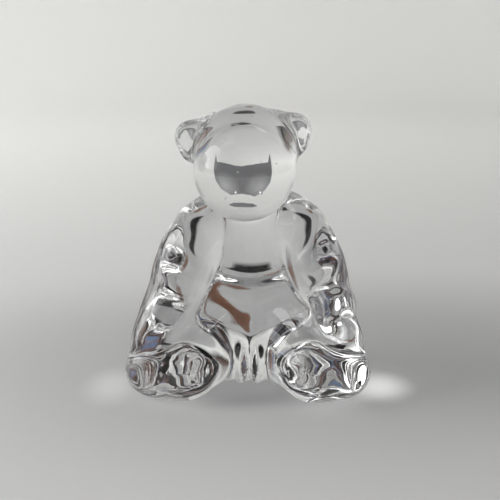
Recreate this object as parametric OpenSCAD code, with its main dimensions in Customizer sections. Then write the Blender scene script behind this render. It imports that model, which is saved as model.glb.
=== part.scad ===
// Seated bear figurine in solid clear crystal glass.
// The bear faces -Y, stands on z = 0, and its own left side is +X.
// Every mass is a few balls, most of them joined by tangent cones. All masses are fused,
// and the fused body is divided into named solids on flat fusion planes.

/* [Size] */
// Height of the whole figurine, in mm
bear_h = 80; // [60:1:120]

/* [Head] */
// Radius of the back of the head
head_r = 14.3; // [13.5:0.1:15]
// Radius of the muzzle end of the head
muzzle_r = 13.9; // [13:0.1:14.5]
// Distance from the head centre forward to the muzzle centre
muzzle_reach = 10; // [7:0.5:12]
// Roll of the head towards the bear's right, in degrees
head_roll = 2.5; // [0:0.5:4]
// Radius of the ball that presses the hollow into each ear
ear_hollow_r = 4.6; // [4:0.1:4.8]

/* [Body] */
// Radius of the chest
chest_r = 11; // [10.5:0.1:11.5]
// Radius of the belly
belly_r = 13.5; // [13:0.1:14]
// Radius of each half of the rump
rump_r = 14.5; // [14:0.1:15]

/* [Limbs] */
// Thickness of the arms, as a factor
arm_girth = 1; // [0.95:0.01:1.05]
// Thickness of the legs, as a factor
leg_girth = 1; // [0.95:0.01:1.05]

/* [Hidden] */
$fn = 48;

LEFT = 1;
RIGHT = -1;
crystal = [0.86, 0.92, 0.94, 0.45];

// Balls: [x, y, z, radius]
torso_balls = [[0.5, 9, 46, chest_r], [0.5, 7, 26, belly_r]];
rump_left = [7.2, 11, 15, rump_r];
rump_right = [-6.2, 11, 15, rump_r];
// The ball under the body that is ground flat to stand on
base_ball = [0.5, 6.5, 11, 15];
// The web joins the thighs low down in front
web_ball = [0.5, -2, 10, 9];
arm_balls_left = [[10.2, 7.5, 45.5, 7.4], [13.8, 5.6, 42.4, 8], [16.8, 2.8, 38, 8],
                  [19, -0.6, 33.8, 7.8], [20.6, -4, 29.5, 7.4]];
arm_balls_right = [[-9.5, 7.5, 45, 7.8], [-13.5, 5.2, 41.4, 8.4], [-16.6, 2.2, 36.8, 8.6],
                   [-19, -1.2, 31.6, 8.2], [-20.6, -4.4, 26.6, 7.5]];
paw_balls_left = [[23.6, -10.5, 24.6, 6.1], [24.6, -14.5, 16.2, 6.8]];
paw_balls_right = [[-23.6, -10, 21.5, 6.4], [-26.2, -14, 15, 6.4]];
leg_balls_left = [[8, 0, 12.8, 12.6], [14, -10, 10.6, 10.4]];
leg_balls_right = [[-8, 0, 12.8, 12.6], [-14, -9, 10.6, 10.4]];
foot_balls_left = [[17.5, -19, 8, 8.6], [25.6, -16, 7.4, 7.9]];
foot_balls_right = [[-17.8, -17.5, 8, 8.6], [-26.4, -14.4, 7.6, 8]];
// The flanks fill the body out behind the arms and over the hips
flank_balls_left = [[13, 9, 41, 7.2], [15.5, 6.5, 25, 9.4], [18.5, 1, 11.5, 11.2]];
flank_balls_right = [[-12.5, 9, 40, 7.2], [-15, 6.5, 24, 9.4], [-18.5, 1, 11.5, 11.2]];

// The head's own frame: its centre, and its balls measured from there
head_centre = [-0.9, 5, 63.3];
muzzle_shift = -0.5;
muzzle_drop = 2.5;
// The shape is drawn with its crown at this height and scaled as a whole
drawn_h = head_centre[2] + head_r;
head_balls = [[0, 0, 0, head_r], [muzzle_shift, -muzzle_reach, -muzzle_drop, muzzle_r]];
ear_balls_left = [[13.2, 1.5, 3, 4.4], [13.8, 1.5, 6.4, 4.9]];
ear_balls_right = [[-14.2, 1.5, 2.4, 4.4], [-15, 1.5, 5.6, 4.9]];
// A web fills the notch between each ear and the crown, from this ball to the ear's tip
ear_web_ball = [8.6, 1.5, 8, 4.4];
ear_web_tip_r = 2.4;
// Each ear is rounded behind by one ball and hollowed in front by another,
// both measured from the ear's upper ball
ear_back_ball = [0, -5, -1, 8.6];
ear_hollow_ball = [0.4, -5.2, -0.8, ear_hollow_r];

// Fusion planes: a point on the plane, and the direction the further mass lies in
neck_plane = [[0, -4, 46.7], [0, -0.49, 0.87]];
lap_plane = [[0, -8, 19], [0, -0.46, 0.89]];
shoulder_plane = [[12.5, 3, 34], [0.93, -0.25, 0.26]];
hip_plane = [[9.4, 1.6, 12.5], [0.73, -0.68, 0]];
wrist_plane = [[22.5, -7, 25.5], [0.2, -0.75, -0.63]];
ankle_plane = [[18.5, -13, 8], [0.45, -0.89, 0]];
far = 200;
// A link is this much slimmer than the tangent cone, so it meets each ball in a clean circle
link_fit = 0.985;

function scaled_ball(b, girth) = [b[0], b[1], b[2], b[3] * girth];
function fattened(balls, girth) = [for (b = balls) scaled_ball(b, girth)];
function centre(b) = [b[0], b[1], b[2]];
function mirrored(v, side) = [side * v[0], v[1], v[2]];
function for_side(side, left, right) = side == LEFT ? left : right;

// Turns +Z onto a direction
module aim(direction) {
  tilt = acos(direction[2] / norm(direction));
  turn = atan2(direction[1], direction[0]);
  rotate([0, tilt, turn]) children();
}

module ball(b) {
  translate(centre(b)) sphere(r = b[3]);
}

// The tangent cone between two balls
module link(a, b) {
  along = centre(b) - centre(a);
  slope = (a[3] - b[3]) / norm(along);
  flank = sqrt(1 - slope * slope);
  translate(centre(a)) aim(along)
    translate([0, 0, a[3] * slope])
      cylinder(h = norm(along) - (a[3] - b[3]) * slope, r1 = link_fit * a[3] * flank,
               r2 = link_fit * b[3] * flank);
}

module chain(balls) {
  for (b = balls) ball(b);
  for (i = [1 : len(balls) - 1]) link(balls[i - 1], balls[i]);
}

module in_head_frame() {
  translate(head_centre) rotate([0, -head_roll, 0]) children();
}

module head_mass() {
  in_head_frame() chain(head_balls);
}

function ear_tip(side) = for_side(side, ear_balls_left, ear_balls_right)[1];
function from_ear_tip(offset, side) = centre(ear_tip(side)) + mirrored(offset, side);

module ear_ball(offset, side) {
  translate(from_ear_tip(offset, side)) sphere(r = offset[3]);
}

module ear_web(side) {
  root = mirrored(ear_web_ball, side);
  tip = ear_tip(side);
  in_head_frame() chain([[root[0], root[1], root[2], ear_web_ball[3]],
                         [tip[0], tip[1], tip[2], ear_web_tip_r]]);
}

module ear_mass(side) {
  in_head_frame() difference() {
    intersection() {
      chain(for_side(side, ear_balls_left, ear_balls_right));
      ear_ball(ear_back_ball, side);
    }
    ear_ball(ear_hollow_ball, side);
  }
  ear_web(side);
}

module torso_mass() {
  chain(torso_balls);
}

module rump_mass() {
  ball(rump_left);
  ball(rump_right);
  ball(base_ball);
}

module flank_mass(side) {
  chain(for_side(side, flank_balls_left, flank_balls_right));
}

module arm_mass(side) {
  chain(fattened(for_side(side, arm_balls_left, arm_balls_right), arm_girth));
}

module paw_mass(side) {
  for (b = fattened(for_side(side, paw_balls_left, paw_balls_right), arm_girth)) ball(b);
}

module leg_mass(side) {
  chain(fattened(for_side(side, leg_balls_left, leg_balls_right), leg_girth));
}

module foot_mass(side) {
  for (b = fattened(for_side(side, foot_balls_left, foot_balls_right), leg_girth)) ball(b);
}

// Keeps what lies beyond a fusion plane on one side of the bear
module beyond(plane, side = LEFT) {
  intersection() {
    children();
    translate(mirrored(plane[0], side)) aim(mirrored(plane[1], side))
      translate([-far, -far, 0]) cube([2 * far, 2 * far, 2 * far]);
  }
}

// Keeps what lies short of a fusion plane on one side of the bear
module short_of(plane, side = LEFT) {
  beyond([plane[0], -plane[1]], side) children();
}

module above_ground() {
  beyond([[0, 0, 0], [0, 0, 1]]) children();
}

module at_height() {
  scale(bear_h / drawn_h) children();
}

module torso() {
  color(crystal) at_height() short_of(neck_plane) beyond(lap_plane)
    short_of(shoulder_plane, LEFT) short_of(shoulder_plane, RIGHT) union() {
      torso_mass();
      head_mass();
      rump_mass();
      for (side = [LEFT, RIGHT]) {
        flank_mass(side);
        arm_mass(side);
        leg_mass(side);
      }
    }
}

module seat() {
  color(crystal) at_height() above_ground() short_of(lap_plane)
    short_of(hip_plane, LEFT) short_of(hip_plane, RIGHT) union() {
      rump_mass();
      torso_mass();
      ball(web_ball);
      for (side = [LEFT, RIGHT]) {
        flank_mass(side);
        leg_mass(side);
      }
    }
}

module head() {
  color(crystal) at_height() beyond(neck_plane) union() {
    head_mass();
    torso_mass();
  }
}

module ear(side) {
  color(crystal) at_height() difference() {
    ear_mass(side);
    head_mass();
  }
}

module arm(side) {
  color(crystal) at_height() short_of(neck_plane) beyond(shoulder_plane, side)
    beyond(lap_plane) short_of(wrist_plane, side) union() {
      arm_mass(side);
      paw_mass(side);
      torso_mass();
      flank_mass(side);
    }
}

module paw(side) {
  color(crystal) at_height() beyond(lap_plane) beyond(wrist_plane, side) union() {
    paw_mass(side);
    arm_mass(side);
    flank_mass(side);
    leg_mass(side);
  }
}

module leg(side) {
  color(crystal) at_height() above_ground() beyond(hip_plane, side)
    short_of(lap_plane) short_of(ankle_plane, side) union() {
      leg_mass(side);
      flank_mass(side);
      foot_mass(side);
      rump_mass();
      ball(web_ball);
      arm_mass(side);
      paw_mass(side);
    }
}

module foot(side) {
  color(crystal) at_height() above_ground() short_of(lap_plane)
    beyond(ankle_plane, side) union() {
      foot_mass(side);
      leg_mass(side);
      paw_mass(side);
    }
}

torso();
seat();
head();
ear(LEFT);  // ear_left
ear(RIGHT);  // ear_right
arm(LEFT);  // arm_left
arm(RIGHT);  // arm_right
paw(LEFT);  // paw_left
paw(RIGHT);  // paw_right
leg(LEFT);  // leg_left
leg(RIGHT);  // leg_right
foot(LEFT);  // foot_left
foot(RIGHT);  // foot_right
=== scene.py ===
"""Seated bear figurine in solid crystal glass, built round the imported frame.

The bear is one smooth distance field, meshed once and cut on the fusion planes into
the same named masses as the CAD. The cut faces are index matched, so they don't show.
The bear is drawn in millimetres, and make_piece scales it to metres. The studio is in metres.
"""

import math

import bmesh
import bpy
import numpy as np
from mathutils import Matrix, Vector


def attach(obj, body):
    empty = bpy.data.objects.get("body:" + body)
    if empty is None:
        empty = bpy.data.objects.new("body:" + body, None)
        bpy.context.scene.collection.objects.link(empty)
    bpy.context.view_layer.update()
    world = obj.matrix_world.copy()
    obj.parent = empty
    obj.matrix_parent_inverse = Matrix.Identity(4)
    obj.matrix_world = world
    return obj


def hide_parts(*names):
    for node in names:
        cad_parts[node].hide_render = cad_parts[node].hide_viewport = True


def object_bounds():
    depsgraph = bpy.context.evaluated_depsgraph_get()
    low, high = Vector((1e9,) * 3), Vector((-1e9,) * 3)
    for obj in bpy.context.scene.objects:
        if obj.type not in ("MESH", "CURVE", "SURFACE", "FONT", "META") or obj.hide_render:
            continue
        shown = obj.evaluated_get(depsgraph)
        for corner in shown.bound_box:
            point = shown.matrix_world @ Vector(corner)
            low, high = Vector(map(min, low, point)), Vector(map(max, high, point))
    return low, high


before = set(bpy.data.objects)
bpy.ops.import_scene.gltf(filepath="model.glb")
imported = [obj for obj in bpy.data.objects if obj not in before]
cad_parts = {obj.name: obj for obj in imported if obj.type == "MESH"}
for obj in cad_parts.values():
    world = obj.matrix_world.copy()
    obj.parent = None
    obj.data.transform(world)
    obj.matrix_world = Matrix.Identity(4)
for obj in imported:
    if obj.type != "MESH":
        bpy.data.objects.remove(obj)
cad_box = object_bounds()

# ---------------------------------------------------------------- driving sizes
LEFT = 1
RIGHT = -1
SIDES = (LEFT, RIGHT)
SIDE_NAME = {LEFT: "left", RIGHT: "right"}

HEAD_CENTRE = (-0.9, 5, 63.3)
HEAD_R = 14.3
# The masses are drawn for this crown height, in millimetres, then scaled to the CAD's height
DRAWN_HEIGHT = HEAD_CENTRE[2] + HEAD_R
HEIGHT = cad_box[1][2] - cad_box[0][2]
UNIT = HEIGHT / DRAWN_HEIGHT

# Balls: (x, y, z, radius), as in the CAD
TORSO = ((0.5, 9, 46, 11), (0.5, 7, 26, 13.5))
RUMP = {LEFT: (7.2, 11, 15, 14.5), RIGHT: (-6.2, 11, 15, 14.5)}
# The ball under the body that is ground flat to stand on
BASE = (0.5, 6.5, 11, 15)
# The web joins the thighs low down in front
WEB = (0.5, -2, 10, 9)
ARM = {LEFT: ((10.2, 7.5, 45.5, 7.4), (13.8, 5.6, 42.4, 8), (16.8, 2.8, 38, 8),
              (19, -0.6, 33.8, 7.8), (20.6, -4, 29.5, 7.4)),
       RIGHT: ((-9.5, 7.5, 45, 7.8), (-13.5, 5.2, 41.4, 8.4), (-16.6, 2.2, 36.8, 8.6),
               (-19, -1.2, 31.6, 8.2), (-20.6, -4.4, 26.6, 7.5))}
PAW = {LEFT: ((23.6, -10.5, 24.6, 6.1), (24.6, -14.5, 16.2, 6.8)),
       RIGHT: ((-23.6, -10, 21.5, 6.4), (-26.2, -14, 15, 6.4))}
# How softly the two balls of a paw run into each other
PAW_CREASE = {LEFT: 2.5, RIGHT: 6.0}
LEG = {LEFT: ((8, 0, 12.8, 12.6), (14, -10, 10.6, 10.4)),
       RIGHT: ((-8, 0, 12.8, 12.6), (-14, -9, 10.6, 10.4))}
FOOT = {LEFT: ((17.5, -19, 8, 8.6), (25.6, -16, 7.4, 7.9)),
        RIGHT: ((-17.8, -17.5, 8, 8.6), (-26.4, -14.4, 7.6, 8))}
# The flanks fill the body out behind the arms and over the hips
FLANK = {LEFT: ((13, 9, 41, 7.2), (15.5, 6.5, 25, 9.4), (18.5, 1, 11.5, 11.2)),
         RIGHT: ((-12.5, 9, 40, 7.2), (-15, 6.5, 24, 9.4), (-18.5, 1, 11.5, 11.2))}

# The head's own frame: balls measured from the head's centre
HEAD_ROLL = math.radians(2.5)
HEAD_COS = math.cos(HEAD_ROLL)
HEAD_SIN = math.sin(HEAD_ROLL)
HEAD = ((0, 0, 0, HEAD_R), (-0.5, -10, -2.5, 13.9))
EAR = {LEFT: ((13.2, 1.5, 3, 4.4), (13.8, 1.5, 6.4, 4.9)),
       RIGHT: ((-14.2, 1.5, 2.4, 4.4), (-15, 1.5, 5.6, 4.9))}
# A web fills the notch between each ear and the crown, from this ball to the ear's tip
EAR_WEB = {LEFT: (8.6, 1.5, 8, 4.4), RIGHT: (-8.6, 1.5, 8, 4.4)}
EAR_WEB_TIP_R = 2.4
# Each ear is rounded behind by one ball and hollowed in front by another, both from its tip
EAR_BACK = (0, -5, -1, 8.6)
EAR_HOLLOW = (0.4, -5.2, -0.8, 4.6)

# Fusion planes: a point, and the direction in which the further mass lies
NECK = ((0, -4, 46.7), (0, -0.49, 0.87))
LAP = ((0, -8, 19), (0, -0.46, 0.89))
SHOULDER = ((12.5, 3, 34), (0.93, -0.25, 0.26))
HIP = ((9.4, 1.6, 12.5), (0.73, -0.68, 0))
WRIST = ((22.5, -7, 25.5), (0.2, -0.75, -0.63))
ANKLE = ((18.5, -13, 8), (0.45, -0.89, 0))
# The plane under each ear stands this far from the head's centre
EAR_ROOT = 13.4

# Fillets where masses run together, in drawn millimetres like all that follows here
LIMB_FILLET = 1.0
EAR_HOLLOW_FILLET = 0.8
EAR_WEB_FILLET = 2.0
HEAD_FILLET = 1.2
BODY_FILLET = 1.2
BASE_FILLET = 1.5
FLANK_FILLET = 3.0
LEG_FILLET = 5.0
GROUND_FILLET = 0.6

# The size of a cell of the grid that the surface is meshed on
GRID = 0.5
# The grid reaches this far beyond the bear, and starts off the flat ground face
MARGIN_LOW = 3.13
MARGIN_HIGH = 3
# Rounds of filling where masses meet only across a diagonal
FILL_PASSES = 4
# The meshed surface steps on to the field's zero level, no further than this at once
SETTLE_PASSES = 5
SETTLE_STEP = 0.5
# Passes of smoothing over the meshed surface, the same reach at both grids
SMOOTHING = 80
# How far each pass moves a point towards the middle of its neighbours
SMOOTHING_STEP = 0.5
NORMAL_PASSES = 2
# Above the neck and in the lap, points take only a part of the smoothing. A limit is
# a height or distance, and the length over which the change fades in below it
HEAD_SMOOTHING = 0.25
NECK_LIMIT = (47, 4)
LAP_HOLD = 0.85
# The upright folds in the glass between the thighs, and how far they reach
FOLD_DEPTH = 0.75
FOLD_RATE = 1.35
LAP_SIDE_LIMIT = (7, 2)
LAP_TOP_LIMIT = (17, 4)
LAP_BACK_LIMIT = (1, 3)
# The slow waves of hot-worked glass: their rates in radians per millimetre, with the
# first one's start, and the shares of them that set in below two heights
WAVE_DEPTH = 0.03
WAVE_ACROSS = (0.55, 0.31, 1.1)
WAVE_BACK = (0.47, 0.36)
WAVE_UP = (0.58, 0.33)
WAVE_SHARES = ((0.05, (50, 12)), (0.95, (26, 8)))

# The seeds: how they scatter from the head's centre, and their smallest and largest radius
SEED = 4
SEED_COUNT = 14
SEED_SPREAD = (4.5, 6, 4.5)
SEED_MIDDLE = (0, -4, 0)
SEED_RADII = (0.1, 0.17)

# The two material slots of a piece
GLASS, FUSED = 0, 1
TINY = 1e-6


# ---------------------------------------------------------------- distance field
def blend(a, b, radius):
    """Union of two fields with a fillet of the given radius."""
    mix = np.clip(0.5 + 0.5 * (b - a) / radius, 0, 1)
    return b * (1 - mix) + a * mix - radius * mix * (1 - mix)


def trim(a, b, radius):
    """Intersection of two fields with a rounded edge."""
    return -blend(-a, -b, radius)


def ball(points, b):
    """Signed distance to a ball."""
    return np.linalg.norm(points - np.array(b[:3]), axis=-1) - b[3]


def link(points, a, b):
    """Two balls and the tangent cone between them."""
    start = np.array(a[:3], float)
    along = np.array(b[:3], float) - start
    length2 = along @ along
    drop = a[3] - b[3]
    flank2 = length2 - drop * drop
    rel = points - start
    y = rel @ along
    z = y - length2
    side = rel * length2 - y[..., None] * along
    x2 = (side * side).sum(-1)
    y2 = y * y * length2
    z2 = z * z * length2
    k = np.sign(drop) * drop * drop * x2
    body = (np.sqrt(x2 * flank2 / length2) + y * drop) / length2 - a[3]
    near_a = np.sqrt(x2 + y2) / length2 - a[3]
    near_b = np.sqrt(x2 + z2) / length2 - b[3]
    out = np.where(np.sign(y) * flank2 * y2 < k, near_a, body)
    return np.where(np.sign(z) * flank2 * z2 > k, near_b, out)


def chain(points, balls, radius):
    """A row of linked balls, with a fillet of the given radius between the links."""
    out = link(points, balls[0], balls[1])
    for a, b in zip(balls[1:], balls[2:]):
        out = blend(out, link(points, a, b), radius)
    return out


def two_balls(points, balls, radius):
    """Two balls with a soft crease between them."""
    return blend(ball(points, balls[0]), ball(points, balls[1]), radius)


def from_tip(tip, offset, side):
    """A ball given by its offset from the tip of the ear on one side."""
    return (tip[0] + side * offset[0], tip[1] + offset[1], tip[2] + offset[2], offset[3])


def ear_field(points, side):
    """An ear in the head's frame: a lobe with a rounded back, a hollow in front and a web."""
    tip = EAR[side][-1]
    lobe = chain(points, EAR[side], LIMB_FILLET)
    lobe = trim(lobe, ball(points, from_tip(tip, EAR_BACK, side)), LIMB_FILLET)
    lobe = trim(lobe, -ball(points, from_tip(tip, EAR_HOLLOW, side)), EAR_HOLLOW_FILLET)
    web = link(points, EAR_WEB[side], (*tip[:3], EAR_WEB_TIP_R))
    return blend(lobe, web, EAR_WEB_FILLET)


def in_head_frame(points):
    """Points measured from the head's centre, with its roll undone."""
    roll = np.array(((HEAD_COS, 0, -HEAD_SIN), (0, 1, 0), (HEAD_SIN, 0, HEAD_COS)))
    return (points - np.array(HEAD_CENTRE)) @ roll


def head_field(points):
    local = in_head_frame(points)
    out = chain(local, HEAD, LIMB_FILLET)
    for side in SIDES:
        out = blend(out, ear_field(local, side), HEAD_FILLET)
    return out


def limb_field(points, side):
    """The leg with its foot, and the arm with its paw, on one side."""
    foot = two_balls(points, FOOT[side], LEG_FILLET)
    leg = blend(link(points, *LEG[side]), foot, LEG_FILLET)
    paw = two_balls(points, PAW[side], PAW_CREASE[side])
    arm = blend(chain(points, ARM[side], LIMB_FILLET), paw, PAW_CREASE[side])
    return leg, arm


def below(value, limit):
    """1 well below a limit and 0 above it."""
    top, fade = limit
    return np.clip((top - value) / fade, 0, 1)


def in_lap(points):
    """1 on the web between the thighs, fading to 0 round it."""
    x, y, z = points[..., 0], points[..., 1], points[..., 2]
    across_web = below(np.abs(x - WEB[0]), LAP_SIDE_LIMIT)
    return across_web * below(z, LAP_TOP_LIMIT) * below(y, LAP_BACK_LIMIT)


def waves(points):
    """The slow unevenness of hot-worked glass below the neck, and the folds in the lap."""
    x, y, z = points[..., 0], points[..., 1], points[..., 2]
    (a, b, start), (c, d), (e, f) = WAVE_ACROSS, WAVE_BACK, WAVE_UP
    crossed = np.sin(a * x + b * z + start) * np.sin(c * y - d * z)
    slow = crossed + np.sin(e * z + f * y)
    low_down = sum(part * below(z, limit) for part, limit in WAVE_SHARES)
    return low_down * WAVE_DEPTH * slow + FOLD_DEPTH * in_lap(points) * np.cos(FOLD_RATE * x)


def bear_field(points):
    """Signed distance to the glass surface, in drawn millimetres."""
    rump = two_balls(points, (RUMP[LEFT], RUMP[RIGHT]), LIMB_FILLET)
    out = blend(link(points, *TORSO), rump, BODY_FILLET)
    for mass in (ball(points, BASE), ball(points, WEB), head_field(points)):
        out = blend(out, mass, BASE_FILLET)
    for side in SIDES:
        out = blend(out, chain(points, FLANK[side], FLANK_FILLET), BODY_FILLET)
    for side in SIDES:
        leg, arm = limb_field(points, side)
        out = blend(out, leg, LEG_FILLET)
        out = blend(out, arm, LIMB_FILLET)
    return trim(out + waves(points), -points[..., 2], GROUND_FILLET)


def gradient(points):
    """The slope of the field, by central differences."""
    step = 0.02
    out = np.empty_like(points)
    for axis in range(3):
        shift = np.zeros(3)
        shift[axis] = step
        out[:, axis] = bear_field(points + shift) - bear_field(points - shift)
    return out / (2 * step)


# ---------------------------------------------------------------- meshing
def fill_diagonals(inside):
    """Fills in where two masses meet only across a diagonal, so that every edge has two faces."""
    for _ in range(FILL_PASSES):
        for axis in range(3):
            u, v = (axis + 1) % 3, (axis + 2) % 3
            quarter = []
            for du, dv in ((0, 0), (0, 1), (1, 0), (1, 1)):
                part = [slice(None)] * 3
                part[u] = slice(du, inside.shape[u] - 1 + du)
                part[v] = slice(dv, inside.shape[v] - 1 + dv)
                quarter.append(inside[tuple(part)])
            a, b, c, d = quarter
            crossed = (a == d) & (b == c) & (a != b)
            a |= crossed
            b |= crossed


def inside_grid(field, axes):
    """Which points of a grid lie inside a field, worked out layer by layer."""
    inside = np.empty([len(a) for a in axes], bool)
    for i, x in enumerate(axes[0]):
        layer = np.stack(np.meshgrid([x], axes[1], axes[2], indexing="ij"), -1)[0]
        inside[i] = field(layer) < 0
    fill_diagonals(inside)
    return inside


def corners_inside(inside):
    """How many of its eight corners each cell of the grid has inside."""
    count = 0
    for corner in np.ndindex(2, 2, 2):
        part = tuple(slice(c, n - 1 + c) for c, n in zip(corner, inside.shape))
        count = count + inside[part].astype(int)
    return count


def net_quads(inside, index):
    """A quad round every edge of the grid that leaves the field, facing outwards."""
    quads = []
    for axis in range(3):
        u, v = (axis + 1) % 3, (axis + 2) % 3
        near = [slice(1, -1)] * 3
        near[axis] = slice(0, -1)
        far_end = list(near)
        far_end[axis] = slice(1, None)
        first = inside[tuple(near)]
        second = inside[tuple(far_end)]
        at = np.argwhere(first != second)
        flip = first[tuple(at.T)]
        at[:, u] += 1
        at[:, v] += 1
        ring = []
        for du, dv in ((-1, -1), (0, -1), (0, 0), (-1, 0)):
            cell_at = at.copy()
            cell_at[:, u] += du
            cell_at[:, v] += dv
            ring.append(index[tuple(cell_at.T)])
        quad = np.stack(ring, -1)
        quad[~flip] = quad[~flip][:, ::-1]
        quads.append(quad)
    return np.concatenate(quads)


def surface_net(field, low, high, cell):
    """Quads round the zero level of a field, one vertex in each cell that it crosses."""
    axes = [np.arange(low[i], high[i] + cell, cell) for i in range(3)]
    inside = inside_grid(field, axes)
    count = corners_inside(inside)
    crossed = (count > 0) & (count < 8)
    index = np.full(count.shape, -1)
    cells = np.argwhere(crossed)
    index[crossed] = np.arange(len(cells))
    start = np.stack([axes[i][cells[:, i]] for i in range(3)], -1)
    return start + cell / 2, net_quads(inside, index)


def settle(points):
    """Moves points on to the glass surface."""
    for _ in range(SETTLE_PASSES):
        slope = gradient(points)
        length2 = np.maximum((slope * slope).sum(-1), TINY)
        step = bear_field(points) / length2
        points = points - np.clip(step, -SETTLE_STEP, SETTLE_STEP)[:, None] * slope
    return points


def smooth(points, quads, passes, share=1.0):
    """Evens out values over the surface, each by its share, so that they change slowly."""
    ends = np.concatenate([quads[:, (i, (i + 1) % 4)] for i in range(4)])
    count = np.bincount(ends.ravel(), minlength=len(points))[:, None]
    for _ in range(passes):
        total = np.zeros_like(points)
        for axis in range(3):
            total[:, axis] += np.bincount(ends[:, 0], points[ends[:, 1], axis], len(points))
            total[:, axis] += np.bincount(ends[:, 1], points[ends[:, 0], axis], len(points))
        points = points + SMOOTHING_STEP * share * (total / count - points)
    return points


def mesh_normals(points, quads):
    """Vertex normals, area weighted and evened out over the neighbours."""
    a, b, c, d = (points[quads[:, i]] for i in range(4))
    face = np.cross(c - a, d - b)
    out = np.zeros_like(points)
    for i in range(4):
        for axis in range(3):
            out[:, axis] += np.bincount(quads[:, i], face[:, axis], len(points))
    out /= np.linalg.norm(out, axis=-1, keepdims=True)
    out = smooth(out, quads, NORMAL_PASSES)
    return out / np.linalg.norm(out, axis=-1, keepdims=True)


def seeds(mesh):
    """A few tiny bubbles, left as hollows in the glass of the head."""
    random = np.random.default_rng(SEED)
    placed = random.normal(0, SEED_SPREAD, (SEED_COUNT, 3)) + SEED_MIDDLE
    for place, radius in zip(placed, random.uniform(*SEED_RADII, SEED_COUNT)):
        centre = Vector(HEAD_CENTRE) + Vector(place)
        made = bmesh.ops.create_icosphere(mesh, subdivisions=2, radius=radius,
                                          matrix=Matrix.Translation(centre))
        faces = {f for v in made["verts"] for f in v.link_faces}
        bmesh.ops.reverse_faces(mesh, faces=list(faces))
        layer = mesh.verts.layers.float_vector["shine"]
        for vertex in made["verts"]:
            vertex[layer] = centre - vertex.co


# ---------------------------------------------------------------- cutting
def across(plane, side):
    """The same plane on one side of the bear."""
    point, normal = (Vector((side * v[0], *v[1:])) for v in plane)
    return point, normal.normalized()


def ear_root(side):
    """The plane under an ear, square to the line from the head's centre to the ear's tip."""
    tip = Vector(EAR[side][-1][:3]).normalized()
    outward = Vector((HEAD_COS * tip.x - HEAD_SIN * tip.z, tip.y,
                      HEAD_SIN * tip.x + HEAD_COS * tip.z))
    return Vector(HEAD_CENTRE) + outward * EAR_ROOT, outward


def one_side(mesh, point, normal, keep_far):
    """A copy of the cut mesh on one side of the plane, closed by a fused face."""
    half = mesh.copy()
    sign = 1 if keep_far else -1
    drop = [f for f in half.faces if (f.calc_center_median() - point).dot(normal) * sign < 0]
    bmesh.ops.delete(half, geom=drop, context="FACES")
    rim = [e for e in half.edges if e.is_boundary]
    made = bmesh.ops.triangle_fill(half, edges=rim, use_beauty=True, normal=normal * -sign)
    for face in made["geom"]:
        if isinstance(face, bmesh.types.BMFace):
            face.material_index = FUSED
            if face.normal.dot(normal) * sign > 0:
                face.normal_flip()
    return half


def cut(mesh, point, normal):
    """Cuts a closed mesh by a plane into (near, far), both closed."""
    geom = mesh.verts[:] + mesh.edges[:] + mesh.faces[:]
    bmesh.ops.bisect_plane(mesh, geom=geom, dist=TINY, plane_co=point, plane_no=normal)
    mesh.normal_update()
    halves = one_side(mesh, point, normal, False), one_side(mesh, point, normal, True)
    mesh.free()
    return halves


def cut_into_masses(mesh):
    """The named masses, each a closed mesh that meets its neighbours face to face."""
    masses = {}
    body, head = cut(mesh, *across(NECK, LEFT))
    for side in SIDES:
        head, masses["ear_" + SIDE_NAME[side]] = cut(head, *ear_root(side))
    seeds(head)
    masses["head"] = head
    lower, upper = cut(body, *across(LAP, LEFT))
    for side in SIDES:
        name = SIDE_NAME[side]
        upper, arm = cut(upper, *across(SHOULDER, side))
        masses["arm_" + name], masses["paw_" + name] = cut(arm, *across(WRIST, side))
        lower, leg = cut(lower, *across(HIP, side))
        masses["leg_" + name], masses["foot_" + name] = cut(leg, *across(ANKLE, side))
    masses["torso"] = upper
    masses["seat"] = lower
    return masses


def mesh_data(name, mesh, materials):
    """Turns a finished bmesh into mesh data with its materials, and frees it."""
    data = bpy.data.meshes.new(name)
    mesh.to_mesh(data)
    mesh.free()
    for material in materials:
        data.materials.append(material)
    return data


def make_piece(name, mesh, materials):
    """Turns a mass into an object in metres, with the smooth normals of the whole bear."""
    data = mesh_data(name, mesh, materials)
    slope = np.empty(len(data.vertices) * 3)
    data.attributes["shine"].data.foreach_get("vector", slope)
    slope = slope.reshape(-1, 3)
    slope /= np.linalg.norm(slope, axis=-1, keepdims=True)
    data.attributes.remove(data.attributes["shine"])
    normals = [None] * len(data.loops)
    for face in data.polygons:
        for loop in face.loop_indices:
            vertex = data.loops[loop].vertex_index
            normals[loop] = slope[vertex] if face.material_index == GLASS else face.normal
    data.shade_smooth()
    data.normals_split_custom_set([tuple(n) for n in normals])
    for vertex in data.vertices:
        vertex.co *= UNIT
    piece = bpy.data.objects.new(name + "_glass", data)
    bpy.context.scene.collection.objects.link(piece)
    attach(piece, "root")
    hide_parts(name)
    # Clear glass passes its light on, so the glass casts no shadow: the paper carries a painted
    # soft shade and painted gathered light in its place
    piece.visible_shadow = False


# ---------------------------------------------------------------- materials
def new_material(name):
    material = bpy.data.materials.new(name)
    material.use_nodes = True
    nodes = material.node_tree.nodes
    return material, nodes, material.node_tree.links, nodes["Principled BSDF"]


def colour_ramp(nodes, stops):
    """A ramp through two or more (place, colour) stops."""
    node = nodes.new("ShaderNodeValToRGB")
    elements = node.color_ramp.elements
    for i, (place, colour) in enumerate(stops):
        element = elements[i] if i < 2 else elements.new(place)
        element.position = place
        element.color = (*colour, 1)
    return node


def map_range(nodes, low, high, to_low, to_high):
    """A node that maps low..high to to_low..to_high and clamps outside it."""
    node = nodes.new("ShaderNodeMapRange")
    node.inputs["From Min"].default_value = low
    node.inputs["From Max"].default_value = high
    node.inputs["To Min"].default_value = to_low
    node.inputs["To Max"].default_value = to_high
    return node


CRYSTAL_IOR = 1.54
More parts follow.
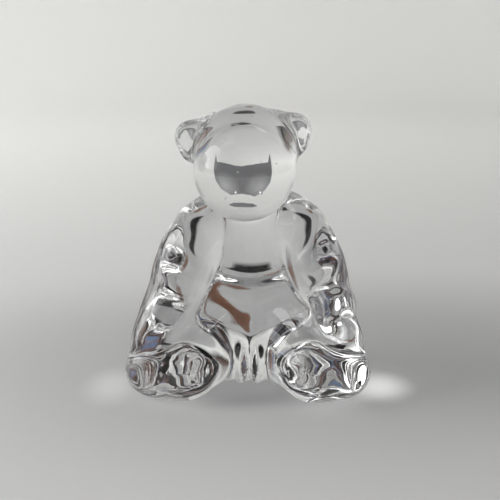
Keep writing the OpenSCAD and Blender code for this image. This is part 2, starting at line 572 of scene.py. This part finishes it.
# Streaks across the width of the head, how far they are drawn out, and their relief in metres
STREAKS = 9
HEAD_WIDTH = 2 * HEAD_R * UNIT
STREAK_SHAPE = (1, 1, 0.35)
STREAK_DETAIL = 1
STREAK_DEPTH = 0.00006
STREAK_STRENGTH = 0.5
STREAK_TINTS = ((0.3, (0.972, 0.984, 0.98)), (0.7, (0.992, 0.996, 0.994)))
# The underside is ground flat, and is matt this close to the ground
GROUND_FACE = 0.0001
GROUND_ROUGHNESS = 0.45


def crystal_material():
    """Clear crystal with the faint drawn-out streaks of glass gathered by hand."""
    material, nodes, links, shader = new_material("crystal")
    shader.inputs["Transmission Weight"].default_value = 1
    shader.inputs["IOR"].default_value = CRYSTAL_IOR
    where = nodes.new("ShaderNodeTexCoord")
    height = nodes.new("ShaderNodeSeparateXYZ")
    ground = map_range(nodes, GROUND_FACE, 2 * GROUND_FACE, GROUND_ROUGHNESS, 0)
    links.new(where.outputs["Object"], height.inputs["Vector"])
    links.new(height.outputs["Z"], ground.inputs["Value"])
    links.new(ground.outputs["Result"], shader.inputs["Roughness"])
    stretched = nodes.new("ShaderNodeMapping")
    stretched.inputs["Scale"].default_value = STREAK_SHAPE
    streaks = nodes.new("ShaderNodeTexNoise")
    streaks.inputs["Scale"].default_value = STREAKS / HEAD_WIDTH
    streaks.inputs["Detail"].default_value = STREAK_DETAIL
    tint = colour_ramp(nodes, STREAK_TINTS)
    relief = nodes.new("ShaderNodeBump")
    relief.inputs["Strength"].default_value = STREAK_STRENGTH
    relief.inputs["Distance"].default_value = STREAK_DEPTH
    links.new(where.outputs["Object"], stretched.inputs["Vector"])
    links.new(stretched.outputs["Vector"], streaks.inputs["Vector"])
    links.new(streaks.outputs["Fac"], tint.inputs["Fac"])
    links.new(tint.outputs["Color"], shader.inputs["Base Color"])
    links.new(streaks.outputs["Fac"], relief.inputs["Height"])
    links.new(relief.outputs["Normal"], shader.inputs["Normal"])
    return material


def fused_material():
    """Index-matched glass to glass: nothing is reflected or bent at a fusion face."""
    material, _, _, shader = new_material("fused_face")
    shader.inputs["Alpha"].default_value = 0
    return material


# ---------------------------------------------------------------- the bear
def bear_mesh():
    """The whole bear as one closed mesh, with its smooth normals stored as "shine"."""
    low = np.array(cad_box[0]) / UNIT - MARGIN_LOW
    high = np.array(cad_box[1]) / UNIT + MARGIN_HIGH
    points, quads = surface_net(bear_field, low, high, GRID)
    points = settle(points)
    share = HEAD_SMOOTHING + (1 - HEAD_SMOOTHING) * below(points[:, 2:], NECK_LIMIT)
    share = share * (1 - LAP_HOLD * in_lap(points)[:, None])
    points = smooth(points, quads, SMOOTHING, share)
    shell = bpy.data.meshes.new("shell")
    shell.from_pydata(points.tolist(), [], quads.tolist())
    shine = shell.attributes.new("shine", "FLOAT_VECTOR", "POINT")
    shine.data.foreach_set("vector", mesh_normals(points, quads).ravel())
    mesh = bmesh.new()
    mesh.from_mesh(shell)
    bpy.data.meshes.remove(shell)
    return mesh


def bear():
    materials = [crystal_material(), fused_material()]
    for name, mass in cut_into_masses(bear_mesh()).items():
        make_piece(name, mass, materials)


# ---------------------------------------------------------------- the studio
FLOOR_R = 8 * HEIGHT
# The flat middle of the floor, as a share of its radius
FLOOR_MIDDLE = 0.3
SWEEP_R = 4 * HEIGHT
SWEEP_TURNS = 96
SWEEP_BENDS = 24
# The wall is this high in front, and rises to the other height behind the bear
WALL_LOW = 5 * HEIGHT
WALL_HIGH = 15 * HEIGHT
# The paper lies this far under the glass, in metres
PAPER_GAP = 0.0001
PAPER_ROUGHNESS = 0.9
PAPER = (0.77, 0.77, 0.75)
# Painted light and shade on the paper, each patch laid over the ones before it: painted light
# brightening the back wall on the -x side, a painted darker floor round the bear that fades to
# the pale paper towards the walls, a painted shadow beside and behind the bear on the +x side,
# painted gathered light beside the two feet, brighter on the +x side, and a painted contact
# shadow under the bear. Each has its centre and reach in heights of the bear, where it starts
# to fade and ends as shares of the reach, and its colour
PAINTED_PAPER_LIGHT_AND_SHADE = (((-4, 11, 0), (6, 9, 4), 0.2, 1, (0.84, 0.84, 0.82)),
                 ((0, -1, 0), (1, 1, 1), 1, 7.5, (0.52, 0.52, 0.51)),
                 ((0.4, 0.2, 0), (1.2, 0.75, 1), 0.3, 2.0, (0.36, 0.36, 0.36)),
                 ((0.47, -0.1, 0), (0.15, 0.2, 1), 0.1, 1, (0.8, 0.8, 0.79)),
                 ((-0.5, -0.1, 0), (0.13, 0.25, 1), 0.1, 1, (0.54, 0.54, 0.53)),
                 ((0.01, 0, 0), (0.45, 0.38, 1), 0.55, 1, (0.26, 0.26, 0.26)))

# The world: the things in a room, as noise
ROOM_SCALE = 1.8
ROOM_DETAIL = 1
ROOM_TONES = ((0.46, (0.004, 0.004, 0.004)), (0.52, (0.06, 0.04, 0.03)),
              (0.56, (0.34, 0.36, 0.4)), (0.64, (1.8, 1.8, 1.8)))
# Its strength rises from 0.12 in front of the bear to 1 behind it, between these two depths
ROOM_FRONT_TO_BACK = (-0.35, 0.25, 0.12, 1.0)

# Lights: name, place and size in heights of the bear, watts, and the rays that don't see it
LIGHT_TARGET = (0, 0, 0.4)
PAPER_ONLY = ("camera", "glossy", "transmission")
LIGHTS = (("overhead", (-5, 6, 13), (10, 8), 4, ("glossy",)),
          ("window", (-9, -0.5, 4.5), (10, 7), 3.5, ("camera",)),
          ("side_fill", (-9, -0.5, 5), (8, 7), 3, PAPER_ONLY),
          ("fill", (3, -9, 12), (10, 10), 3, PAPER_ONLY))

# Cards: black, brown and blue-grey, and where along the noise each begins
CARD_SCALE = 9
CARD_COLOURS = ((0.01, 0.01, 0.01), (0.17, 0.075, 0.04), (0.1, 0.17, 0.3))
DARK_CLOTH = (0.5, 0.56, 0.64)
BROWN_PATCHES = (0.3, 0.45, 0.62)
# Flags: name, middle and half width in degrees round from the front, then low edge,
# high edge and distance in heights of the bear
FLAGS = (("room_flag", 25, 115, 0.25, 7, 6),
         ("left_flag", 247, 16, 0.25, 3, 6),
         ("back_low", 180, 11, 0.01, 0.15, 0.76),
         ("right_low", 138, 19, 0.02, 0.5, 1.2),
         ("left_low", 224, 17, 0.02, 0.5, 1.2))
FLAG_STEPS = 48
# The ends of a flag fade over a sixth of its width, and its top over a third of its height
END_FADES = 6
TOP_FADES = 3
# Table cards: name, centre and half size in heights of the bear, and their tones
TABLE_CARDS = (("brown_card", (-0.06, 0.53), (0.075, 0.075), BROWN_PATCHES),
               ("dark_card", (0.02, 0.8), (0.2, 0.07), DARK_CLOTH))
TABLE_CARD_STEPS = 24
TABLE_CARD_HEIGHT = 0.004 * HEIGHT
# Shares of a table card's size, and how solid it is there
TABLE_CARD_RINGS = ((0.7, 1), (1, 0))

# The prop behind the head, and its outline in half widths across and heights up
PROP_HALF = 0.132 * HEIGHT
PROP_TALL = 0.155 * HEIGHT
PROP_LOW = 0.69 * HEIGHT
PROP_BEHIND = 0.616 * HEIGHT
PROP_OUTLINE = ((0.0, 0.14), (0.5, 0.06), (0.84, 0.02), (0.94, -0.25), (1.0, 0.3), (0.95, 0.6),
                (0.75, 0.86), (0.4, 1.0), (0.0, 0.86))
# Its paler rounds, across and up as shares of its half width and height, and their tones
PROP_ROUND = (0.55, 0.7)
PROP_TONES = ((0.05, (0.58, 0.58, 0.59)), (0.5, (0.25, 0.25, 0.26)))
# The bar above it, which the head bends into an arc
ARC_HALF = 0.08 * HEIGHT
ARC_TALL = 0.06 * HEIGHT
ARC_LOW = 0.93 * HEIGHT
ARC_OUTLINE = ((-1, 0.4), (-0.6, -0.3), (0, -0.5), (0.6, -0.3),
               (1, 0.4), (0.6, 0.5), (0, 0.4), (-0.6, 0.5))

# The photo's view: the lens's angle and the camera's rise in degrees, then the target and
# the distance in drawn millimetres, and the near clip in metres
CAMERA_ANGLE = 23.2
CAMERA_RISE = 14
CAMERA_TARGET = (0.2, 0, 37.4)
CAMERA_AWAY = 340
CAMERA_NEAR = 0.01
# Light crosses many faces of clear and fused glass on its way through the bear
LONG_PATHS = 24
GLOSSY_BOUNCES = 12
CLEAR_FACES = 32


def heights(*values):
    """Values given in heights of the bear, in metres."""
    return tuple(value * HEIGHT for value in values)


def paper_material():
    """Pale paper, with painted shade on the floor round, behind and under the bear, painted light
    on the back wall to the -x side, and painted light where the glass would gather light beside
    its feet.
    """
    material, nodes, links, shader = new_material("paper")
    where = nodes.new("ShaderNodeTexCoord")

    def painted_patch(centre, stretch, inner, outer):
        """A soft patch of painted tone, 1 at its middle and 0 outside, with its sizes in heights
        of the bear.
        """
        apart = nodes.new("ShaderNodeVectorMath")
        apart.operation = "SUBTRACT"
        apart.inputs[1].default_value = Vector(centre) * HEIGHT
        shaped = nodes.new("ShaderNodeVectorMath")
        shaped.operation = "DIVIDE"
        shaped.inputs[1].default_value = Vector(stretch) * HEIGHT
        reach = nodes.new("ShaderNodeVectorMath")
        reach.operation = "LENGTH"
        soft = map_range(nodes, inner, outer, 1, 0)
        soft.interpolation_type = "SMOOTHSTEP"
        links.new(where.outputs["Object"], apart.inputs[0])
        links.new(apart.outputs["Vector"], shaped.inputs[0])
        links.new(shaped.outputs["Vector"], reach.inputs[0])
        links.new(reach.outputs["Value"], soft.inputs["Value"])
        return soft.outputs["Result"]

    colour = None
    # Each patch paints its tone over the paper's colour: the darker tones are painted shade, the
    # paler ones painted light
    for *patch, tone in PAINTED_PAPER_LIGHT_AND_SHADE:
        mix = nodes.new("ShaderNodeMixRGB")
        links.new(painted_patch(*patch), mix.inputs["Fac"])
        mix.inputs["Color1"].default_value = (*PAPER, 1)
        if colour:
            links.new(colour, mix.inputs["Color1"])
        mix.inputs["Color2"].default_value = (*tone, 1)
        colour = mix.outputs["Color"]
    links.new(colour, shader.inputs["Base Color"])
    shader.inputs["Roughness"].default_value = PAPER_ROUGHNESS
    return material


def sweep():
    """A round floor that curves up into a wall all round, so every view has a backdrop."""
    profile = [(FLOOR_R * FLOOR_MIDDLE, 0.0), (FLOOR_R, 0.0)]
    for i in range(1, SWEEP_BENDS + 1):
        angle = math.radians(90) * i / SWEEP_BENDS
        profile.append((FLOOR_R + SWEEP_R * math.sin(angle), SWEEP_R * (1 - math.cos(angle))))
    profile.append((FLOOR_R + SWEEP_R, WALL_LOW))
    mesh = bmesh.new()
    rows = []
    for radius, z in profile:
        ring = []
        for i in range(SWEEP_TURNS):
            turn = 2 * math.pi * i / SWEEP_TURNS
            behind = max(0, math.sin(turn))
            rise = (z / WALL_LOW) ** 2 * (WALL_HIGH - WALL_LOW) * behind ** 2
            place = (radius * math.cos(turn), radius * math.sin(turn), z + rise)
            ring.append(mesh.verts.new(place))
        rows.append(ring)
    mesh.faces.new(rows[0])
    for a, b in zip(rows, rows[1:]):
        for i in range(SWEEP_TURNS):
            j = (i + 1) % SWEEP_TURNS
            mesh.faces.new((a[i], b[i], b[j], a[j]))
    bmesh.ops.recalc_face_normals(mesh, faces=mesh.faces)
    data = mesh_data("sweep", mesh, [paper_material()])
    data.shade_smooth()
    backdrop = bpy.data.objects.new("sweep", data)
    backdrop.location.z = cad_box[0][2] - PAPER_GAP
    bpy.context.scene.collection.objects.link(backdrop)


def area_light(name, place, size, power, unseen_by):
    """A round light aimed at the bear, not seen by the kinds of ray named."""
    data = bpy.data.lights.new(name, "AREA")
    data.shape = "ELLIPSE"
    data.size, data.size_y = heights(*size)
    data.energy = power
    light = bpy.data.objects.new(name, data)
    light.location = heights(*place)
    aim = Vector(heights(*LIGHT_TARGET)) - Vector(heights(*place))
    light.rotation_euler = aim.to_track_quat("-Z", "Y").to_euler()
    for ray in unseen_by:
        setattr(light, "visible_" + ray, False)
    bpy.context.scene.collection.objects.link(light)


def card_material(name, starts):
    """Black cloth with a few brown and blue-grey things against it, faded at its edges."""
    material, nodes, links, shader = new_material(name)
    where = nodes.new("ShaderNodeTexCoord")
    things = nodes.new("ShaderNodeTexNoise")
    things.inputs["Scale"].default_value = CARD_SCALE
    tones = colour_ramp(nodes, list(zip(starts, CARD_COLOURS)))
    links.new(where.outputs["Object"], things.inputs["Vector"])
    links.new(things.outputs["Fac"], tones.inputs["Fac"])
    links.new(tones.outputs["Color"], shader.inputs["Base Color"])
    edge = nodes.new("ShaderNodeAttribute")
    edge.attribute_name = "fade"
    links.new(edge.outputs["Fac"], shader.inputs["Alpha"])
    shader.inputs["Roughness"].default_value = 1
    return material


def prop_material():
    """Dark grey with two paler rounds."""
    material, nodes, links, shader = new_material("prop")
    where = nodes.new("ShaderNodeTexCoord")
    place = nodes.new("ShaderNodeVectorMath")
    place.operation = "ABSOLUTE"
    offset = nodes.new("ShaderNodeVectorMath")
    offset.operation = "DISTANCE"
    aside, up = PROP_ROUND
    offset.inputs[1].default_value = (aside * PROP_HALF, PROP_BEHIND, PROP_LOW + up * PROP_TALL)
    tones = colour_ramp(nodes, PROP_TONES)
    scale = nodes.new("ShaderNodeMath")
    scale.operation = "DIVIDE"
    scale.inputs[1].default_value = PROP_HALF
    links.new(where.outputs["Object"], place.inputs[0])
    links.new(place.outputs["Vector"], offset.inputs[0])
    links.new(offset.outputs["Value"], scale.inputs[0])
    links.new(scale.outputs["Value"], tones.inputs["Fac"])
    links.new(tones.outputs["Color"], shader.inputs["Base Color"])
    shader.inputs["Roughness"].default_value = 1
    return material


def only_glass_sees(name, data):
    """Adds a card to the studio that neither the camera nor the paper sees."""
    card = bpy.data.objects.new(name, data)
    card.visible_camera = False
    card.visible_diffuse = False
    card.visible_shadow = False
    bpy.context.scene.collection.objects.link(card)


def prop():
    """A dark shape behind the head, which the head's lens turns upside down, and its bar."""
    outline = [(-u, v) for u, v in PROP_OUTLINE]
    outline += PROP_OUTLINE[-2:0:-1]
    mesh = bmesh.new()
    faces = []
    for shape, half, foot, tall in ((outline, PROP_HALF, PROP_LOW, PROP_TALL),
                                    (ARC_OUTLINE, ARC_HALF, ARC_LOW, ARC_TALL)):
        corners = [mesh.verts.new((half * u, PROP_BEHIND, foot + tall * v)) for u, v in shape]
        faces.append(mesh.faces.new(corners))
    bmesh.ops.triangulate(mesh, faces=faces)
    only_glass_sees("prop", mesh_data("prop", mesh, [prop_material()]))


def flag(name, turn, half_width, low, high, radius):
    """A dark curved card that only the glass sees."""
    low, high, radius = heights(low, high, radius)
    mesh = bmesh.new()
    fade = mesh.verts.layers.float.new("fade")
    rows = []
    for i in range(FLAG_STEPS + 1):
        along = i / FLAG_STEPS
        angle = math.radians(turn - half_width + 2 * half_width * along)
        x, y = radius * math.sin(angle), -radius * math.cos(angle)
        ends = min(1, END_FADES * along, END_FADES * (1 - along))
        row = []
        for up in range(FLAG_STEPS + 1):
            vertex = mesh.verts.new((x, y, low + (high - low) * up / FLAG_STEPS))
            vertex[fade] = ends * min(1, TOP_FADES * (1 - up / FLAG_STEPS))
            row.append(vertex)
        rows.append(row)
    for a, b in zip(rows, rows[1:]):
        for up in range(FLAG_STEPS):
            mesh.faces.new((a[up], b[up], b[up + 1], a[up + 1]))
    only_glass_sees(name, mesh_data(name, mesh, [card_material(name, DARK_CLOTH)]))


def table_card(name, centre, half_size, starts):
    """An oval card lying on the table, which only the glass sees."""
    centre, half_size = heights(*centre), heights(*half_size)
    mesh = bmesh.new()
    fade = mesh.verts.layers.float.new("fade")
    middle = mesh.verts.new((*centre, TABLE_CARD_HEIGHT))
    middle[fade] = 1
    rings = []
    for reach, shown in TABLE_CARD_RINGS:
        ring = []
        for i in range(TABLE_CARD_STEPS):
            angle = 2 * math.pi * i / TABLE_CARD_STEPS
            x = centre[0] + reach * half_size[0] * math.cos(angle)
            y = centre[1] + reach * half_size[1] * math.sin(angle)
            vertex = mesh.verts.new((x, y, TABLE_CARD_HEIGHT))
            vertex[fade] = shown
            ring.append(vertex)
        rings.append(ring)
    inner, outer = rings
    for i in range(TABLE_CARD_STEPS):
        j = (i + 1) % TABLE_CARD_STEPS
        mesh.faces.new((middle, inner[i], inner[j]))
        mesh.faces.new((inner[i], outer[i], outer[j], inner[j]))
    only_glass_sees(name, mesh_data(name, mesh, [card_material(name, starts)]))


def room_world():
    """The rest of the room as soft noise, which the glass reflects and bends."""
    world = bpy.data.worlds.new("studio")
    bpy.context.scene.world = world
    world.use_nodes = True
    nodes, links = world.node_tree.nodes, world.node_tree.links
    background = nodes["Background"]
    where = nodes.new("ShaderNodeTexCoord")
    room = nodes.new("ShaderNodeTexNoise")
    room.inputs["Scale"].default_value = ROOM_SCALE
    room.inputs["Detail"].default_value = ROOM_DETAIL
    tones = colour_ramp(nodes, ROOM_TONES)
    links.new(where.outputs["Generated"], room.inputs["Vector"])
    links.new(room.outputs["Fac"], tones.inputs["Fac"])
    links.new(tones.outputs["Color"], background.inputs["Color"])
    split = nodes.new("ShaderNodeSeparateXYZ")
    behind = map_range(nodes, *ROOM_FRONT_TO_BACK)
    links.new(where.outputs["Generated"], split.inputs["Vector"])
    links.new(split.outputs["Y"], behind.inputs["Value"])
    links.new(behind.outputs["Result"], background.inputs["Strength"])


def studio():
    sweep()
    room_world()
    for row in FLAGS:
        flag(*row)
    for row in TABLE_CARDS:
        table_card(*row)
    prop()
    for row in LIGHTS:
        area_light(*row)


def camera():
    """The photo's view of the bear."""
    data = bpy.data.cameras.new("camera")
    data.angle = math.radians(CAMERA_ANGLE)
    data.clip_start = CAMERA_NEAR
    cam = bpy.data.objects.new("camera", data)
    bpy.context.scene.collection.objects.link(cam)
    target = Vector(CAMERA_TARGET) * UNIT
    elevation = math.radians(CAMERA_RISE)
    away = Vector((0, -math.cos(elevation), math.sin(elevation)))
    cam.location = target + away * CAMERA_AWAY * UNIT
    cam.rotation_euler = (-away).to_track_quat("-Z", "Y").to_euler()
    bpy.context.scene.camera = cam


bear()
studio()
camera()
scene = bpy.context.scene
scene.view_settings.view_transform = "Standard"
scene.cycles.max_bounces = LONG_PATHS
scene.cycles.transmission_bounces = LONG_PATHS
scene.cycles.glossy_bounces = GLOSSY_BOUNCES
scene.cycles.transparent_max_bounces = CLEAR_FACES
